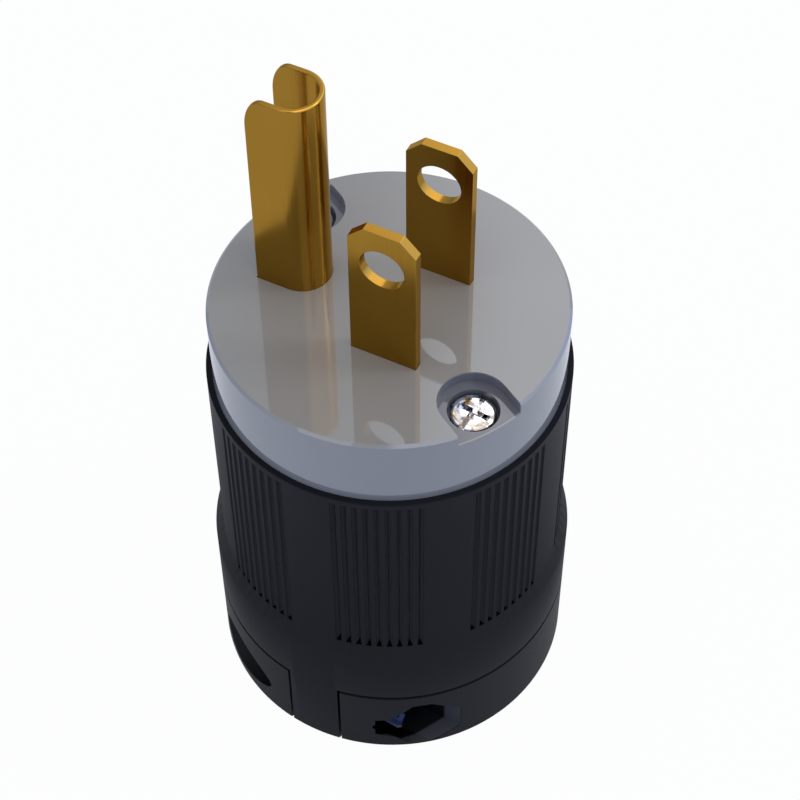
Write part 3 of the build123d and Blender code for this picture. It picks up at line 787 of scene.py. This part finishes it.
def makeCamera():
    azimuth, elevation, roll = (math.radians(view[key]) for key in ("azimuth", "elevation", "roll"))
    back = Vector((math.sin(azimuth) * math.cos(elevation),
                   -math.cos(azimuth) * math.cos(elevation), math.sin(elevation)))
    right = Vector((math.cos(azimuth), math.sin(azimuth), 0))
    up = back.cross(right)
    tiltedRight = right * math.cos(roll) + up * math.sin(roll)
    tiltedUp = up * math.cos(roll) - right * math.sin(roll)
    data = bpy.data.cameras.new("camera")
    data.lens = view["lens"]
    data.sensor_width = view["sensor"]
    data.clip_start = view["nearest"]
    camera = bpy.data.objects.new("camera", data)
    scene.collection.objects.link(camera)
    place = Matrix((tiltedRight, tiltedUp, back)).transposed().to_4x4()
    place.translation = (Vector(view["target"]) + back * view["distance"]) * mm
    camera.matrix_world = place
    scene.camera = camera


makeCamera()

# Studio: pale floor, even world light and three soft lamps, in metres
studio = {
    "floorSize": 1.2, "floorTone": "#c8d6f0",
    "floorWhite": 0.97, "floorGloss": 0.6,  # its share of plain white, and of that in mirrors
    "worldLevel": 0.8, "horizonTone": "#9fbcff", "zenithTone": "#fffbf2",
    # Mirrors see a softbox on this side of the world: its direction, soft edge and two levels
    "softboxSide": (-0.45, 0.893, 0), "softboxEdge": (-0.05, 0.07),
    "glossLow": 1.0, "glossHigh": 2.7,
    "lampsAim": (0, 0, 0.04),
    "lamps": {
        "key": {"from": (-0.25, 0.45, 0.55), "size": 0.16, "power": 0.7},
        "fill": {"from": (0.6, -0.1, 0.35), "size": 0.3, "power": 0.25},
        "top": {"from": (0.05, 0.0, 0.7), "size": 0.4, "power": 0.6},
    },
}


# How much of the plain white a ray gets: all for the camera and through glass, and the given
# share in reflections
def backgroundRays(tree, glossShare):
    path = addNode(tree, "ShaderNodeLightPath")
    mirrored = addNode(tree, "ShaderNodeMath", {"operation": "MULTIPLY"}, {
        0: path.outputs["Is Glossy Ray"], 1: glossShare})
    seen = addNode(tree, "ShaderNodeMath", {"operation": "MAXIMUM"}, {
        0: path.outputs["Is Camera Ray"], 1: mirrored.outputs[0]})
    return addNode(tree, "ShaderNodeMath", {"operation": "MAXIMUM"}, {
        0: seen.outputs[0], 1: path.outputs["Is Transmission Ray"]}).outputs[0]


def makeFloor():
    bm = bmesh.new()
    bmesh.ops.create_grid(bm, x_segments=1, y_segments=1, size=studio["floorSize"])
    floor = meshObject("floor", bm)
    material = bpy.data.materials.new("paleFloor")
    tree = emptyTree(material)
    matt = addNode(tree, "ShaderNodeBsdfDiffuse", inputs={"Color": hexColor(studio["floorTone"])})
    white = addNode(tree, "ShaderNodeEmission", inputs={"Color": (1, 1, 1, 1), "Strength": 1.0})
    share = addNode(tree, "ShaderNodeMath", {"operation": "MULTIPLY"}, {
        0: backgroundRays(tree, studio["floorGloss"]), 1: studio["floorWhite"]})
    mix = addNode(tree, "ShaderNodeMixShader", inputs={
        0: share.outputs[0], 1: matt.outputs[0], 2: white.outputs[0]})
    addNode(tree, "ShaderNodeOutputMaterial", inputs={"Surface": mix.outputs[0]})
    floor.data.materials.append(material)


# The camera sees white, matt surfaces get an even level, and mirrors get the softbox
def makeWorld():
    world = bpy.data.worlds.new("studio")
    tree = emptyTree(world)
    direction = addNode(tree, "ShaderNodeTexCoord").outputs["Generated"]
    rise = addNode(tree, "ShaderNodeSeparateXYZ", inputs={0: direction})
    sky = addNode(tree, "ShaderNodeMix", {"data_type": "RGBA"}, {
        "Factor": rise.outputs["Z"], 6: hexColor(studio["horizonTone"]),
        7: hexColor(studio["zenithTone"])})
    even = addNode(tree, "ShaderNodeBackground", inputs={
        "Color": sky.outputs[2], "Strength": studio["worldLevel"]})
    sideways = addNode(tree, "ShaderNodeVectorMath", {"operation": "DOT_PRODUCT"}, {
        0: direction, 1: studio["softboxSide"]})
    edge = studio["softboxEdge"]
    softbox = addNode(tree, "ShaderNodeMapRange", {"interpolation_type": "SMOOTHSTEP"}, {
        "Value": sideways.outputs["Value"], "From Min": edge[0], "From Max": edge[1],
        "To Min": studio["glossLow"], "To Max": studio["glossHigh"]})
    gloss = addNode(tree, "ShaderNodeBackground", inputs={
        "Color": sky.outputs[2], "Strength": softbox.outputs["Result"]})
    bright = addNode(tree, "ShaderNodeBackground", inputs={"Color": (1, 1, 1, 1), "Strength": 1.0})
    path = addNode(tree, "ShaderNodeLightPath")
    lit = addNode(tree, "ShaderNodeMixShader", inputs={
        0: path.outputs["Is Glossy Ray"], 1: even.outputs[0], 2: gloss.outputs[0]})
    mix = addNode(tree, "ShaderNodeMixShader", inputs={
        0: backgroundRays(tree, 0), 1: lit.outputs[0], 2: bright.outputs[0]})
    addNode(tree, "ShaderNodeOutputWorld", inputs={"Surface": mix.outputs[0]})
    scene.world = world


def makeLamps():
    for name, lamp in studio["lamps"].items():
        data = bpy.data.lights.new(name, "AREA")
        data.size = lamp["size"]
        data.energy = lamp["power"]
        item = bpy.data.objects.new(name, data)
        scene.collection.objects.link(item)
        place = Vector(lamp["from"])
        aim = (Vector(studio["lampsAim"]) - place).to_track_quat("-Z", "Y")
        item.matrix_world = Matrix.Translation(place) @ aim.to_matrix().to_4x4()
        item.visible_camera = False


makeFloor()
makeWorld()
makeLamps()
scene.view_settings.view_transform = "Standard"
print("camera, floor and lamps set")
